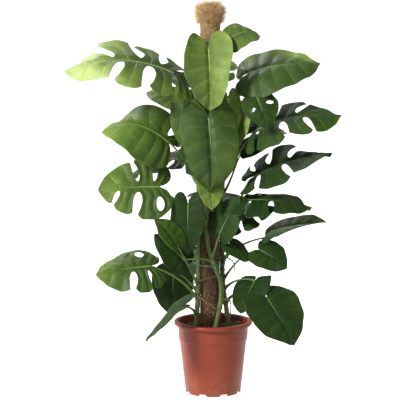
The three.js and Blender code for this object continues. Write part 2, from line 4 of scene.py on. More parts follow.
import bpy
import numpy as np
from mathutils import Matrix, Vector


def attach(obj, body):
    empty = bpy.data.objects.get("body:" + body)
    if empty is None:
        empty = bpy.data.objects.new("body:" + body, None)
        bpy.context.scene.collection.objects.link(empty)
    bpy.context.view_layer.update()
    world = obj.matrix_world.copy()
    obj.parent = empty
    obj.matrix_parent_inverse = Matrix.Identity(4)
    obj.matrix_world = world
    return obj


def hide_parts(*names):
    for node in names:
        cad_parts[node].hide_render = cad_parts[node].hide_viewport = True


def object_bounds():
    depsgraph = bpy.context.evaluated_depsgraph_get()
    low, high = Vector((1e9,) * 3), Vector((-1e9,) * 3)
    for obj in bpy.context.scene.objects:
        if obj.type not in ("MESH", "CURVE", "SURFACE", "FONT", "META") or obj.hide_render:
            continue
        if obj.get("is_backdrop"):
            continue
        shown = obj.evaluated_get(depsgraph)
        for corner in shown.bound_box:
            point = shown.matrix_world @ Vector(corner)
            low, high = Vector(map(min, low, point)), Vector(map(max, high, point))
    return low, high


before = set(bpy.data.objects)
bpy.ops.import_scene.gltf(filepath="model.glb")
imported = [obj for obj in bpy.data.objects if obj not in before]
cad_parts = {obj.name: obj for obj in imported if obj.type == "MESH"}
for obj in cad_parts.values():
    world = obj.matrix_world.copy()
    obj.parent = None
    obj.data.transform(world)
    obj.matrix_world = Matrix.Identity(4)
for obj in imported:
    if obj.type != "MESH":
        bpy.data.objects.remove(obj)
cad_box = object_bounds()

# ---------- the studio ----------
# A white sheet on the ground that runs out of sight, a big soft light high on the left, and weaker ones
# on the right and behind. The camera stands five metres away, a little above the middle of the plant.
bpy.ops.object.select_all(action="DESELECT")
bpy.ops.mesh.primitive_circle_add(vertices=64, radius=220, fill_type="NGON", location=(0, 0, -0.0005))
ground = bpy.context.object
ground.name = "studio_ground"
ground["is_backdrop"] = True
ground.visible_diffuse = False
ground_sheet = bpy.data.materials.new("studio_sheet")
ground_sheet.use_nodes = True
sheet_skin = ground_sheet.node_tree.nodes["Principled BSDF"]
sheet_skin.inputs["Base Color"].default_value = (0.86, 0.86, 0.86, 1)
sheet_skin.inputs["Roughness"].default_value = 0.9
sheet_skin.inputs["Emission Color"].default_value = (1, 1, 1, 1)
sheet_skin.inputs["Emission Strength"].default_value = 0.9
ground.data.materials.append(ground_sheet)

sky = bpy.data.worlds.new("studio_sky")
bpy.context.scene.world = sky
sky.use_nodes = True
sky.node_tree.nodes["Background"].inputs["Color"].default_value = (1, 1, 1, 1)
sky.node_tree.nodes["Background"].inputs["Strength"].default_value = 0.5
bpy.context.scene.view_settings.view_transform = "Standard"

for name, place, size, power, gleam in (
    ("key_light", (-3.2, -2.9, 3.2), 1.3, 300, 1.0),
    ("fill_light", (3.4, -3.2, 1.6), 2.4, 8, 1.0),
    ("back_light", (-1.4, 3.4, 3.4), 2.0, 60, 0.35),
):
    lamp = bpy.data.lights.new(name, "AREA")
    lamp.shape = "DISK"
    lamp.size, lamp.energy = size, power
    lamp.specular_factor = gleam
    stand = bpy.data.objects.new(name, lamp)
    bpy.context.scene.collection.objects.link(stand)
    stand.location = place
    aim = np.array((-0.02, 0, 0.62)) - np.array(place)
    tip = math.pi - math.acos(aim[2] / np.linalg.norm(aim))
    stand.rotation_euler = (tip, 0, math.atan2(aim[1], aim[0]) - math.pi / 2)

CAMERA_AWAY, CAMERA_HEIGHT, AIM_HEIGHT = 5.0, 1.275, 0.59
lens = bpy.data.cameras.new("camera")
lens.lens, lens.sensor_width = 150.3, 36
lens.clip_end = 600
camera = bpy.data.objects.new("camera", lens)
bpy.context.scene.collection.objects.link(camera)
camera.location = (-0.04, -CAMERA_AWAY, CAMERA_HEIGHT)
camera.rotation_euler = (math.pi / 2 - math.atan2(CAMERA_HEIGHT - AIM_HEIGHT, CAMERA_AWAY), 0, 0)
bpy.context.scene.camera = camera


# ---------- pot ----------
# A 24 cm nursery pot of terracotta plastic, injection moulded in one shot: a tapered wall that steps out
# into a collar, a rolled rim, a raised floor and a foot ring with notches for the water to run out.
class Wire:
    """A socket of a material, so that a shade can be written as a sum."""

    def __init__(self, socket):
        self.socket = socket

    def node(self, kind, settings, values, out=0):
        made = self.socket.id_data.nodes.new(kind)
        for key, value in settings.items():
            if key == "stops":
                ramp = made.color_ramp.elements
                while len(ramp) < len(value):
                    ramp.new(0.5)
                for stop, (position, colour) in zip(ramp, value):
                    stop.position, stop.color = position, (*colour, 1)
            else:
                setattr(made, key, value)
        for key, value in values.items():
            if isinstance(value, Wire):
                self.socket.id_data.links.new(value.socket, made.inputs[key])
            elif isinstance(value, tuple) and len(value) == 3 and made.inputs[key].type == "RGBA":
                made.inputs[key].default_value = (*value, 1)
            else:
                made.inputs[key].default_value = value
        return Wire(made.outputs[out]) if len(made.outputs) else None

    def maths(self, operation, a, b):
        return self.node("ShaderNodeMath", {"operation": operation}, {0: a, 1: b})

    def __add__(self, other):
        return self.maths("ADD", self, other)

    def __radd__(self, other):
        return self.maths("ADD", other, self)

    def __sub__(self, other):
        return self.maths("SUBTRACT", self, other)

    def __rsub__(self, other):
        return self.maths("SUBTRACT", other, self)

    def __mul__(self, other):
        return self.maths("MULTIPLY", self, other)

    def __rmul__(self, other):
        return self.maths("MULTIPLY", other, self)


def finish_of(name):
    """A new material, empty, and the wire of the place on the object."""
    material = bpy.data.materials.new(name)
    material.use_nodes = True
    material.node_tree.nodes.clear()
    return material, Wire(material.node_tree.nodes.new("ShaderNodeTexCoord").outputs["Object"])


def grain(place, scale, detail=4, rough=0.6):
    """Soft noise from 0 to 1."""
    values = {"Vector": place, "Scale": scale, "Detail": detail, "Roughness": rough}
    return place.node("ShaderNodeTexNoise", {}, values)


def mixed(share, a, b):
    """Colour a, going over to colour b as share goes from 0 to 1."""
    wire = next(w for w in (share, a, b) if isinstance(w, Wire))
    return wire.node("ShaderNodeMix", {"data_type": "RGBA"}, {0: share, 6: a, 7: b}, 2)


def step(value, low, high):
    """0 before low and 1 after high, with a soft edge between them."""
    ends = {0: value, 1: low, 2: high, 3: 0.0, 4: 1.0}
    return value.node("ShaderNodeMapRange", {"interpolation_type": "SMOOTHSTEP"}, ends)


def surface(colour, roughness, height, depth, **fixed):
    """The shader of a skin, with a bump as deep as depth, in metres."""
    wire = next(w for w in (colour, roughness, height) if isinstance(w, Wire))
    bump = wire.node("ShaderNodeBump", {}, {"Height": height, "Distance": depth, "Strength": 1.0})
    values = {"Base Color": colour, "Roughness": roughness, "Normal": bump}
    values.update({key.replace("_", " "): value for key, value in fixed.items()})
    return wire.node("ShaderNodeBsdfPrincipled", {}, values)


def show(skin):
    skin.node("ShaderNodeOutputMaterial", {}, {"Surface": skin})


def object_of(name, points, faces, *materials, edges=()):
    """A new piece from points in millimetres."""
    mesh = bpy.data.meshes.new(name)
    mesh.from_pydata(np.asarray(points, float) / 1000, edges, faces)
    piece = bpy.data.objects.new(name, mesh)
    bpy.context.scene.collection.objects.link(piece)
    for material in materials:
        mesh.materials.append(material)
    return piece


def in_hand(piece, edit=False):
    """Selects one piece alone, and all of its mesh if it is to be edited."""
    bpy.ops.object.select_all(action="DESELECT")
    piece.select_set(True)
    bpy.context.view_layer.objects.active = piece
    if edit:
        bpy.ops.object.mode_set(mode="EDIT")
        bpy.ops.mesh.select_all(action="SELECT")


def turned(name, profile, steps, middle, material):
    """A profile of radius and height, spun once round an upright line."""
    line = list(itertools.pairwise(range(len(profile))))
    piece = object_of(name, [(middle + r, 0, z) for r, z in profile], [], material, edges=line)
    in_hand(piece, edit=True)
    bpy.ops.mesh.spin(steps=steps, angle=2 * math.pi, center=(middle / 1000, 0, 0), axis=(0, 0, 1))
    bpy.ops.mesh.select_all(action="SELECT")
    bpy.ops.mesh.remove_doubles(threshold=2e-6)
    bpy.ops.mesh.normals_make_consistent(inside=False)
    bpy.ops.object.mode_set(mode="OBJECT")
    bpy.ops.object.shade_smooth_by_angle(angle=math.radians(35))
    return piece


WALL_TOP, WALL_SPREAD, WALL_THICK = 163, 18, 2.4  # up to the collar, how far the wall leans out, and its thickness
FOOT_RADIUS = 84.5
NOTCHES = 8


def pot_wall(z):
    """The outside radius of the tapered wall at a height."""
    return FOOT_RADIUS + WALL_SPREAD * z / WALL_TOP


foot_ring = [(0, 0), (11, 0), (12, 1), (12, 9), (13, 10), (pot_wall(10) - 6, 10), (pot_wall(9) - 5, 9)]
foot_ring += [(80, 1), (80.5, 0), (83.7, 0), (FOOT_RADIUS, 0.8)]
outer_wall = [(pot_wall(z), z) for z in (40, 80, 120, 161, WALL_TOP)]
collar = [(103.4, 163.7), (104.6, 164.6), (105.3, 166), (105.6, 170), (106.6, 190), (107.3, 206), (107.6, 208.4)]
rim = [(108.4, 209), (117.2, 209), (118.4, 209.5), (119, 211), (119, 215.4), (118.6, 217.6), (117.4, 219.3)]
rim += [(115.6, 220), (106.8, 220), (105.6, 219.4), (105.1, 218)]
inner_wall = [(103.2, 168), (102.6, 165), (100.6, 163.6), (100.1, 161), (pot_wall(60) - WALL_THICK, 60)]
inner_wall += [(pot_wall(16) - WALL_THICK, 16), (pot_wall(13) - 5, 13), (0, 13)]

plastic, place = finish_of("terracotta_plastic")
height = place.node("ShaderNodeSeparateXYZ", {}, {0: place}, 2)
cloud = grain(place, 6, 2)
scuff = step(grain(place, 46, 6, 0.7), 0.54, 0.74)
dust = step(height, 0.1, 0.0) * step(grain(place, 24, 5, 0.7), 0.4, 0.75)
fine = grain(place, 900, 2)
colour = mixed(step(cloud, 0.35, 0.7), (0.29, 0.046, 0.019), (0.33, 0.056, 0.025))
colour = mixed(step(height, 0.06, 0.0) * 0.45, colour, (0.36, 0.09, 0.035))
colour = mixed(scuff * 0.12, colour, (0.42, 0.13, 0.08))
colour = mixed(dust * 0.3, colour, (0.42, 0.25, 0.17))
gloss = 0.33 + 0.05 * cloud + 0.2 * scuff
show(surface(colour, gloss, cloud * 0.05 + fine * 0.18, 0.0006, Specular_IOR_Level=0.26))

pot = turned("nursery_pot", foot_ring + outer_wall + collar + rim + inner_wall, 160, 0, plastic)
for i in range(NOTCHES):
    turn = 2 * math.pi * (i + 0.5) / NOTCHES
    spot = (FOOT_RADIUS / 1000 * math.sin(turn), -FOOT_RADIUS / 1000 * math.cos(turn), 0)
    bpy.ops.object.select_all(action="DESELECT")
    bpy.ops.mesh.primitive_cube_add(size=1, location=spot, rotation=(0, 0, turn), scale=(0.026, 0.024, 0.014))
    notch = bpy.context.object
    bpy.ops.object.mode_set(mode="EDIT")
    bpy.ops.mesh.select_all(action="SELECT")
    bpy.ops.mesh.bevel(offset=0.0055, segments=4, affect="EDGES")
    bpy.ops.object.mode_set(mode="OBJECT")
    in_hand(pot)
    cut = pot.modifiers.new("notch", "BOOLEAN")
    cut.object, cut.operation, cut.solver = notch, "DIFFERENCE", "EXACT"
    bpy.ops.object.modifier_apply(modifier="notch")
    bpy.data.objects.remove(notch)
bpy.ops.object.shade_smooth_by_angle(angle=math.radians(35))
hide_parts("pot")
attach(pot, "root")

# ---------- potting soil ----------
# Coarse peat with crumbs, chips of bark and a few white grains of perlite. It is poured in loose round the pole
# and the stems and pressed down, so that it stands a little higher in the middle.
SOIL_TOP, SOIL_RADIUS = 208, 100
POLE_X = -10

earth, place = finish_of("peat")
crumb = grain(place, 150, 6, 0.7)
patch = grain(place, 30, 4)
colour = mixed(step(crumb, 0.38, 0.68), (0.02, 0.011, 0.006), (0.13, 0.075, 0.045))
colour = mixed(step(patch, 0.55, 0.75) * 0.5, colour, (0.13, 0.08, 0.048))
show(surface(colour, 0.88 + 0.1 * patch, crumb + patch * 0.6, 0.003))


def soil_level(away):
    """The height of the soil at a distance from the middle of the pot."""
    return SOIL_TOP - 2.6 + 5.5 * max(0, 1 - away / SOIL_RADIUS) ** 0.8


root_ball = [(0, 150), (96, 150), (97.5, 160), (99.4, 166), (100.5, 168), (101.6, 204.5)]
root_ball += [(r, soil_level(r)) for r in np.linspace(SOIL_RADIUS, 4, 46)] + [(0, SOIL_TOP + 3)]
soil = turned("potting_soil", root_ball, 150, 0, earth)
in_hand(soil)
lumps = bpy.data.textures.new("peat_lumps", "CLOUDS")
lumps.noise_scale, lumps.noise_depth = 0.011, 3
press = soil.modifiers.new("lumps", "DISPLACE")
press.texture, press.texture_coords, press.direction = lumps, "LOCAL", "Z"
press.strength, press.mid_level = 0.007, 0.62
high = soil.vertex_groups.new(name="surface")
on_top = [v.index for v in soil.data.vertices if v.co.z > 0.2 and math.hypot(v.co.x, v.co.y) < 0.1015]
high.add(on_top, 1, "ADD")
press.vertex_group = "surface"
bpy.ops.object.modifier_apply(modifier="lumps")
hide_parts("soil")
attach(soil, "root")


CLEAR_OF_POLE = 30


def scattered(count, low, high, stretch, lift, seed):
    """Rough lumps on the soil: twelve-cornered stones, squashed, turned and pushed out of shape."""
    chance = np.random.default_rng(seed)
    golden = (1 + 5**0.5) / 2
    corners = np.array([(0, a, b * golden) for a in (-1, 1) for b in (-1, 1)])
    corners = np.vstack([corners, np.roll(corners, 1, axis=1), np.roll(corners, 2, axis=1)]) / np.hypot(1, golden)
    faces = []
    for a, b, c in itertools.combinations(range(12), 3):
        sides = corners[b] - corners[a], corners[c] - corners[b], corners[a] - corners[c]
        if max(map(np.linalg.norm, sides)) < 1.2:
            outwards = np.dot(np.cross(sides[0], corners[c] - corners[a]), corners[a]) > 0
            faces.append((a, b, c) if outwards else (c, b, a))
    points, all_faces = [], []
    for _ in range(count):
        away, turn = 99 * math.sqrt(chance.random()), chance.random() * 2 * math.pi
        x, y = away * math.cos(turn), away * math.sin(turn)
        if math.hypot(x - POLE_X, y) < CLEAR_OF_POLE:
            continue
        size = low + (high - low) * chance.random() ** 2.2
        spin, _ = np.linalg.qr(chance.normal(size=(3, 3)))
        if np.linalg.det(spin) < 0:
            spin[:, 0] *= -1
        body = corners * (1 + chance.normal(0, 0.13, (12, 1))) * size * np.array(stretch) @ spin.T
        points.append(body + (x, y, soil_level(away) + lift * size))
        all_faces += [tuple(12 * (len(points) - 1) + i for i in f) for f in faces]
    return np.vstack(points), all_faces


bark_skin, place = finish_of("bark_and_crumbs")
layer = grain(place, 220, 5, 0.7)
tint = grain(place, 38, 3)
colour = mixed(step(layer, 0.35, 0.7), (0.04, 0.022, 0.013), (0.2, 0.115, 0.065))
colour = mixed(step(tint, 0.52, 0.7) * 0.7, colour, (0.2, 0.11, 0.06))
show(surface(colour, 0.85 + 0.1 * tint, layer, 0.0015))
white_skin, place = finish_of("perlite")
pores = grain(place, 500, 4)
colour = mixed(step(pores, 0.3, 0.7), (0.3, 0.26, 0.2), (0.62, 0.58, 0.5))
show(surface(colour, 0.85 + 0.1 * pores, pores, 0.0008))
for name, recipe, skin in (
    ("soil_crumbs", (1500, 1.0, 4.2, (1, 0.9, 0.75), 0.15, 11), bark_skin),
    ("bark_chips", (130, 3.0, 8.5, (1, 0.6, 0.3), 0.3, 12), bark_skin),
    ("perlite_grains", (60, 0.8, 2.2, (1, 0.9, 0.8), 0.5, 13), white_skin),
):
    points, faces = scattered(*recipe)
    bits = object_of(name, points, faces, skin)
    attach(bits, "root")

# ---------- the coir pole ----------
# A round timber stake inside a sleeve of coconut fibre, which is glued on in a mat with loose fibres all over it.
# The shaft is darker and redder where it stays damp. The frayed head is golden and stands open like a brush.
POLE_TOP, COIR_RADIUS, HEAD_LENGTH = 1183, 30, 62
FIBRES_FROM, FIBRE_POINTS = 196, 6

wood, place = finish_of("stake_timber")
spread = place.node("ShaderNodeMapping", {}, {0: place, 3: (40.0, 40.0, 2.5)})
rays = grain(spread, 5, 5)
show(surface(mixed(rays, (0.33, 0.2, 0.09), (0.6, 0.42, 0.22)), 0.7 + 0.2 * rays, rays, 0.0008))
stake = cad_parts["pole_core"]
stake.data.materials.clear()
stake.data.materials.append(wood)

mat, place = finish_of("coir_mat")
up = place.node("ShaderNodeSeparateXYZ", {}, {0: place}, 2)
crossed = place.node("ShaderNodeMapping", {}, {0: place, 2: (0.5, 0.7, 0.3), 3: (1.0, 3.5, 1.0)})
tangle = grain(crossed, 330, 6, 0.75)
damp = grain(place, 26, 4)
colour = mixed(step(tangle, 0.36, 0.66), (0.02, 0.009, 0.005), (0.17, 0.082, 0.04))
colour = mixed(step(damp, 0.5, 0.7) * 0.6, colour, (0.26, 0.15, 0.07))
golden = mixed(step(tangle, 0.3, 0.7), (0.13, 0.08, 0.035), (0.46, 0.31, 0.15))
colour = mixed(step(up, 0.98, 1.14), colour, golden)
show(surface(colour, 0.9 + 0.08 * damp, tangle, 0.003))

head = POLE_TOP - HEAD_LENGTH
sleeve_rows = [(0, 62), (24, 60), (COIR_RADIUS - 1.2, 64)]
sleeve_rows += [(COIR_RADIUS - 0.8, z) for z in np.linspace(190, head, 190)]
brush = ((32.5, 14), (35, 26), (36.5, 36), (35.5, 45), (31, 52), (24, 56.5), (14, 59), (0, 60))
sleeve_rows += [(r, head + z) for r, z in brush]
sleeve = turned("coir_sleeve_mat", sleeve_rows, 64, POLE_X, mat)
in_hand(sleeve)
felt = bpy.data.textures.new("coir_felt", "CLOUDS")
felt.noise_scale, felt.noise_depth = 0.007, 4
ruffle = sleeve.modifiers.new("felt", "DISPLACE")
ruffle.texture, ruffle.texture_coords, ruffle.strength, ruffle.mid_level = felt, "LOCAL", 0.0035, 0.6
bpy.ops.object.modifier_apply(modifier="felt")
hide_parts("coir_sleeve")
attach(sleeve, "root")


def bar_faces(base, rings, sides):
    """The faces of a bar of rings of points, closed at both ends."""
    faces = []
    for ring in range(base, base + (rings - 1) * sides, sides):
        for j in range(sides):
            a, b = ring + j, ring + (j + 1) % sides
            faces.append((a, b, b + sides, a + sides))
    last = base + (rings - 1) * sides
    return faces + [tuple(base + j for j in range(sides))[::-1], tuple(last + j for j in range(sides))]


def marked(piece, name, values):
    """Gives each point of a piece a number, for its material to read."""
    numbers = piece.data.attributes.new(name, "FLOAT", "POINT")
    numbers.data.foreach_set("value", np.asarray(values, np.float32))


def strands(name, paths, thick, shade):
    """Three-sided fibres along paths: an array of fibres, points along each, and x, y, z."""
    count, length = paths.shape[:2]
    along = np.gradient(paths, axis=1)
    along /= np.linalg.norm(along, axis=2, keepdims=True)
    side = np.cross(along, (0.31, 0.21, 0.93))
    side /= np.linalg.norm(side, axis=2, keepdims=True)
    over = np.cross(along, side)
    taper = np.linspace(1, 0.45, length)[None, :, None, None] * thick[:, None, None, None]
    turn = np.arange(3) * 2 * math.pi / 3
    rim = side[:, :, None] * np.cos(turn)[:, None] + over[:, :, None] * np.sin(turn)[:, None]
    points = (paths[:, :, None] + rim * taper).reshape(-1, 3)
    faces = [face for n in range(count) for face in bar_faces(3 * n * length, length, 3)]
    piece = object_of(name, points, faces, fibre_skin)
    marked(piece, "fibre", np.repeat(shade, length * 3))
    piece.data.shade_smooth()
    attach(piece, "root")


fibre_skin, place = finish_of("coir_fibre")
tone = place.node("ShaderNodeAttribute", {"attribute_name": "fibre"}, {}, 2)
fleck = grain(place, 120, 4)
ramp = [(0.0, (0.03, 0.013, 0.007)), (0.4, (0.13, 0.06, 0.03)), (0.7, (0.42, 0.25, 0.11)), (1.0, (0.85, 0.6, 0.3))]
colour = place.node("ShaderNodeValToRGB", {"stops": ramp}, {0: tone + 0.22 * fleck - 0.1})
show(surface(colour, 0.62 + 0.25 * fleck, fleck, 0.0004))

chance = np.random.default_rng(5)
count = 3600
start_turn = chance.random(count) * 2 * math.pi
start_height = FIBRES_FROM + chance.random(count) * (head - 186)
sweep = chance.normal(0, 0.75, count)
climb = chance.normal(0, 17, count)
rise = 0.4 + 2.4 * chance.random(count) ** 3
share = np.linspace(0, 1, FIBRE_POINTS)[None]
own = start_turn[:, None]  # so that no two fibres wander alike
turn = own + sweep[:, None] * share + 0.05 * np.sin(5 * share + own * 9)
radius = COIR_RADIUS - 0.2 + rise[:, None] * np.sin(math.pi * share) + 0.3 * np.sin(9 * share + own * 7)
level = start_height[:, None] + climb[:, None] * share + 2.5 * np.sin(3 * share + own * 5)
paths = np.stack([POLE_X + radius * np.cos(turn), radius * np.sin(turn), np.maximum(level, FIBRES_FROM)], axis=2)
yellow = np.sin(start_height / 27 + 2 * np.sin(start_turn)) * 0.24
sunned = 0.3 * np.clip((start_height - 960) / 120, 0, 1)
shade = np.clip(0.5 + yellow + sunned + chance.normal(0, 0.17, count), 0, 1)
strands("coir_fibres", paths, 0.24 + 0.42 * chance.random(count) ** 2, shade)

count = 3800
turn = chance.random(count) * 2 * math.pi
low = chance.random(count)
lift = head + 2 + 54 * low
out = np.interp(lift - head, [0, 14, 26, 36, 45, 52, 58], [30, 32, 34.5, 36, 34, 29, 12])
out = out * np.where(low > 0.8, chance.random(count) ** 0.5, 1)
climb = 0.15 + 1.5 * low + chance.normal(0, 0.4, count)
aim = np.stack([np.cos(turn), np.sin(turn), climb], axis=1) + chance.normal(0, 0.55, (count, 3))
aim /= np.linalg.norm(aim, axis=1, keepdims=True)
long = 6 + 13 * chance.random(count) ** 1.5
curl = chance.normal(0, 1.0, (count, 3))
foot = np.stack([POLE_X + out * np.cos(turn), out * np.sin(turn), np.minimum(lift, head + 57)], axis=1)
share = np.linspace(0, 1, FIBRE_POINTS)[None, :, None]
paths = foot[:, None] + (aim[:, None] * share + 0.4 * curl[:, None] * share**2) * long[:, None, None]
paths[..., 2] = np.minimum(paths[..., 2], POLE_TOP + 4)
thick = 0.26 + 0.4 * chance.random(count)
shade = np.clip(0.9 + chance.normal(0, 0.16, count), 0, 1)
strands("coir_head_fibres", paths, thick, shade)

# ---------- stems and aerial roots ----------
# Four climbing stems from cuttings, ringed where each leaf grew, with corky aerial roots. They are planted round
# the pole and press against the coir. A route gives the turn round the pole, the gap to it and the height above the
# soil; a root starts at a height on its stem and goes on from there.
STEM_LINE, STEM_RADIUS, STEM_SIDES = 39.5, 8, 20
stem_routes = {
    "left": [(218, 16, -78), (215, 9, 32), (214, 4, 112), (208, 0, 192), (210, 0, 352), (203, 0, 532), (210, 0, 752)],
    "front": [
        (275, 31, -78), (287, 23, 7), (307, 13, 72), (317, 6, 127), (292, 3, 182),
        (264, 1, 242), (256, 1, 352), (267, 1, 492), (261, 0, 792),
    ],
    "right": [(20, 20, -78), (13, 14, 32), (19, 3, 122), (18, 0, 232), (27, 0, 392), (19, 0, 592), (27, 0, 802)],
    "back": [(100, 19, -78), (97, 9, 32), (93, 0, 212), (100, 0, 432), (90, 0, 732)],
}
root_routes = {
    "left": [(92, (15, -38, -4), (47, -54, -24), (87, -62, -48))],
    "front": [
        (82, (26, -8, 2), (30, -12, -28), (25, -10, -68)),
        (154, (-28, -25, -1), (-60, -47, -6), (-92, -65, -13)),
    ],
    "right": [(212, (32, -22, -18), (38, -28, -48))],
    "back": [],
}
leaf_heights = {
    "left": (592, 432, 505, 642, 292, 122, 82, 102, 32),
    "front": (732, 652, 572, 402, 382, 312, 192, 212),
    "right": (782, 642, 672, 432, 62, 102, 132, 192, 166, 292, 312, 222, 392, 505),
    "back": (652, 492, 392, 262, 112),
}


def flowing(a, b, leave, arrive, w):
    """The way from a to b, with the slopes that it leaves and arrives with, as w goes from 0 to 1."""
    return a + leave * w + (3 * (b - a) - 2 * leave - arrive) * w**2 + (2 * (a - b) + leave + arrive) * w**3


def winding(route, steps):
    """A smooth line through points, without overshooting at close ones."""
    p = np.array(route, float)
    p = np.vstack([2 * p[0] - p[1], p, 2 * p[-1] - p[-2]])
    line = []
    for i in range(1, len(p) - 2):
        before, here, after = (max(np.linalg.norm(p[k + 1] - p[k]) ** 0.5, 1e-4) for k in (i - 1, i, i + 1))
        across, back, on = p[i + 1] - p[i], p[i] - p[i - 1], p[i + 2] - p[i + 1]
        leave = (back / before - (p[i + 1] - p[i - 1]) / (before + here) + across / here) * here
        arrive = (across / here - (p[i + 2] - p[i]) / (here + after) + on / after) * here
        line.append(flowing(p[i], p[i + 1], leave, arrive, np.arange(steps)[:, None] / steps))
    return np.vstack([*line, p[-2]])


def tube(path, radii, sides, base=0):
    """The points and faces of a round bar along a path, closed at both ends."""
    along = np.gradient(path, axis=0)
    along /= np.linalg.norm(along, axis=1, keepdims=True)
    side = np.cross(along[0], (0.2, 0.97, 0.1))
    sides_of = []
    for direction in along:
        side = side - direction * np.dot(side, direction)
        side = side / np.linalg.norm(side)
        sides_of.append(side)
    side = np.array(sides_of)
    over = np.cross(along, side)
    turn = np.arange(sides) * 2 * math.pi / sides
    rim = side[:, None] * np.cos(turn)[:, None] + over[:, None] * np.sin(turn)[:, None]
    points = (path[:, None] + rim * np.asarray(radii)[:, None, None]).reshape(-1, 3)
    return points, bar_faces(base, len(path), sides)


def round_pole(turn, out, height):
    """A point at a turn round the pole, a distance from its middle and a height above the soil."""
    turn = math.radians(turn)
    return (POLE_X + out * math.cos(turn), out * math.sin(turn), SOIL_TOP + height)


stem_lines = {
    name: winding([round_pole(turn, STEM_LINE + out, height) for turn, out, height in route], 30)
    for name, route in stem_routes.items()
}


def stem_point(name, height):
    """The middle of a stem at a height above the soil."""
    line = stem_lines[name]
    return np.array([np.interp(SOIL_TOP + height, line[:, 2], line[:, k]) for k in range(3)])


stem_skin, place = finish_of("green_stem")
up = place.node("ShaderNodeSeparateXYZ", {}, {0: place}, 2)
cork = place.node("ShaderNodeAttribute", {"attribute_name": "cork"}, {}, 2)
streaks = grain(place.node("ShaderNodeMapping", {}, {0: place, 3: (1.0, 1.0, 0.18)}), 260, 4)
speck = grain(place, 420, 3)
colour = mixed(step(streaks, 0.3, 0.7), (0.05, 0.1, 0.018), (0.12, 0.19, 0.035))
colour = mixed(step(up, 0.75, 1.0) * 0.55, colour, (0.13, 0.22, 0.045))
colour = mixed(step(cork + 0.6 * speck, 0.4, 0.85), colour, (0.15, 0.095, 0.045))
show(surface(colour, 0.45 + 0.35 * cork, streaks + cork * 2, 0.0009, Specular_IOR_Level=0.35))

for name, line in stem_lines.items():
    run = np.concatenate([[0], np.cumsum(np.linalg.norm(np.diff(line, axis=0), axis=1))])
    even = np.linspace(0, run[-1], int(run[-1] / 2.2))
    path = np.stack([np.interp(even, run, line[:, k]) for k in range(3)], axis=1)
    share = even / run[-1]
    ringed = np.zeros(len(path))
    for height in (*leaf_heights[name], *range(30, 810, 30)):
        gap = path[:, 2] - SOIL_TOP - height
        swell = 0.2 if height in leaf_heights[name] else 0.09
        ringed += swell * np.exp(-((gap / 3.2) ** 2)) - 0.05 * np.exp(-(((gap + 6) / 2.4) ** 2))
    radii = STEM_RADIUS * (1 - 0.35 * share) * (1 + np.clip(ringed, -0.07, 0.2))
    radii[-6:] *= np.array([0.98, 0.94, 0.86, 0.7, 0.45, 0.12])
    points, faces = tube(path, radii, STEM_SIDES)
    old_wood = 0.3 * np.clip(1 - (path[:, 2] - SOIL_TOP) / 90, 0, 1)
    corks = np.repeat(np.clip(np.abs(ringed) * 3.2, 0, 0.6) + old_wood, STEM_SIDES)
    for height, *course in root_routes[name]:
        foot = stem_point(name, height)
        reach = winding([foot] + [foot + c for c in course], 12)
        beads = np.arange(len(reach))
        wander = 0.5 * np.sin(beads[:, None] * (0.7, 0.5, 0.9) + (0, 2, 4))
        root_radii = 2.6 * (1 - 0.5 * np.linspace(0, 1, len(reach))) * (1 + 0.08 * np.sin(beads * 1.9))
        more, more_faces = tube(reach + wander, root_radii, 10, len(points))
        points, faces = np.vstack([points, more]), faces + more_faces
        corks = np.concatenate([corks, np.ones(len(more))])
    stem = object_of(name + "_climbing_stem", points, faces, stem_skin)
    marked(stem, "cork", corks)
    stem.data.shade_smooth()
    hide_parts(name + "_stem")
    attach(stem, "root")

# ---------- ties ----------
# Garden wire with a green plastic coat. Each tie goes once round the pole and all four stems, and its two ends are
# twisted together by hand in a short tail.
TIE_RADIUS, WIRE_RADIUS, TWISTS = 51, 1.05, 2.5
coating, place = finish_of("green_wire")
wear = grain(place, 300, 3)
show(surface(mixed(wear, (0.03, 0.2, 0.14), (0.07, 0.36, 0.26)), 0.35 + 0.15 * wear, wear, 0.0002))
for name, height, knot in (("lower_tie", 194, 285), ("middle_tie", 362, 120), ("upper_tie", 702, 60)):
    turn = np.radians(knot) + np.linspace(0.05, 2 * math.pi - 0.05, 120)
    across, level = POLE_X + TIE_RADIUS * np.cos(turn), SOIL_TOP + height + 7 * np.sin(turn)
    ring = np.stack([across, TIE_RADIUS * np.sin(turn), level], axis=1)
    out = np.array([math.cos(math.radians(knot)), math.sin(math.radians(knot)), 0])
    side, up = np.array([-out[1], out[0], 0]), np.array([0, 0, 1])
    turns = np.linspace(0, 2 * math.pi * TWISTS, 50)[:, None]
    ends = []
    for phase, long in ((0, 9), (math.pi, 11)):
        twist = out * (1.5 + turns / 15.7 * long)
        twist = twist + 1.15 * side * np.cos(turns + phase) + 1.15 * up * np.sin(turns + phase)
        twist[:, 2] -= turns[:, 0] / 15.7 * 4
        ends.append((ring[0] + ring[-1]) / 2 + twist)
    path = np.vstack([ends[1][::-1], ring, ends[0]])
    points, faces = tube(path, np.full(len(path), WIRE_RADIUS), 8)
    wire = object_of(name + "_wire", points, faces, coating)
    wire.data.shade_smooth()
    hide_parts(name)
    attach(wire, "root")

